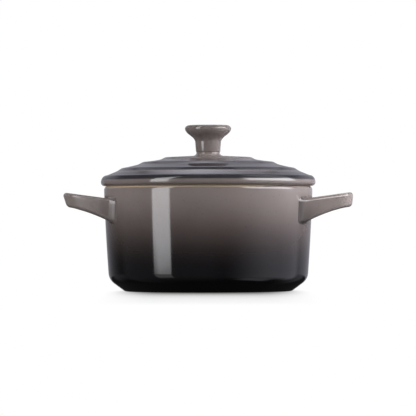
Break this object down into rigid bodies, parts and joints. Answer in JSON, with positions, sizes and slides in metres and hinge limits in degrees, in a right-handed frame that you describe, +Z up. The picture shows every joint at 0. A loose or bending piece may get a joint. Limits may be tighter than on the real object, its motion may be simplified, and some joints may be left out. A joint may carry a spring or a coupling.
{
  "type": "mini cocotte",
  "caption": "Small round stoneware casserole with a loop handle on each side and a loose stepped lid with a knob that lifts straight off; glaze shades from taupe to black",
  "frame": {"origin": "centre of the foot, on the surface that the pot stands on", "axes": "X runs through both handles, Z points up through the knob, and -Y faces the front"},
  "size_m": [0.1396, 0.104, 0.0807],
  "materials": {
    "pot_glaze": "gloss glaze shading from taupe at the rim to black at the foot",
    "handle_glaze": "gloss taupe glaze",
    "lid_glaze": "gloss glaze, taupe at the crown and bead, charcoal between",
    "knob_glaze": "gloss taupe glaze"
  },
  "bodies": {
    "pot": {"pot_body": "pot_glaze", "handle_left": "handle_glaze", "handle_right": "handle_glaze"},
    "lid": {"lid": "lid_glaze", "knob": "knob_glaze"}
  },
  "joints": [
    {"name": "lid_lift", "type": "slide", "parent": "pot", "child": "lid", "axis": [0, 0, 1], "range_m": [0, 0.12]}
  ]
}
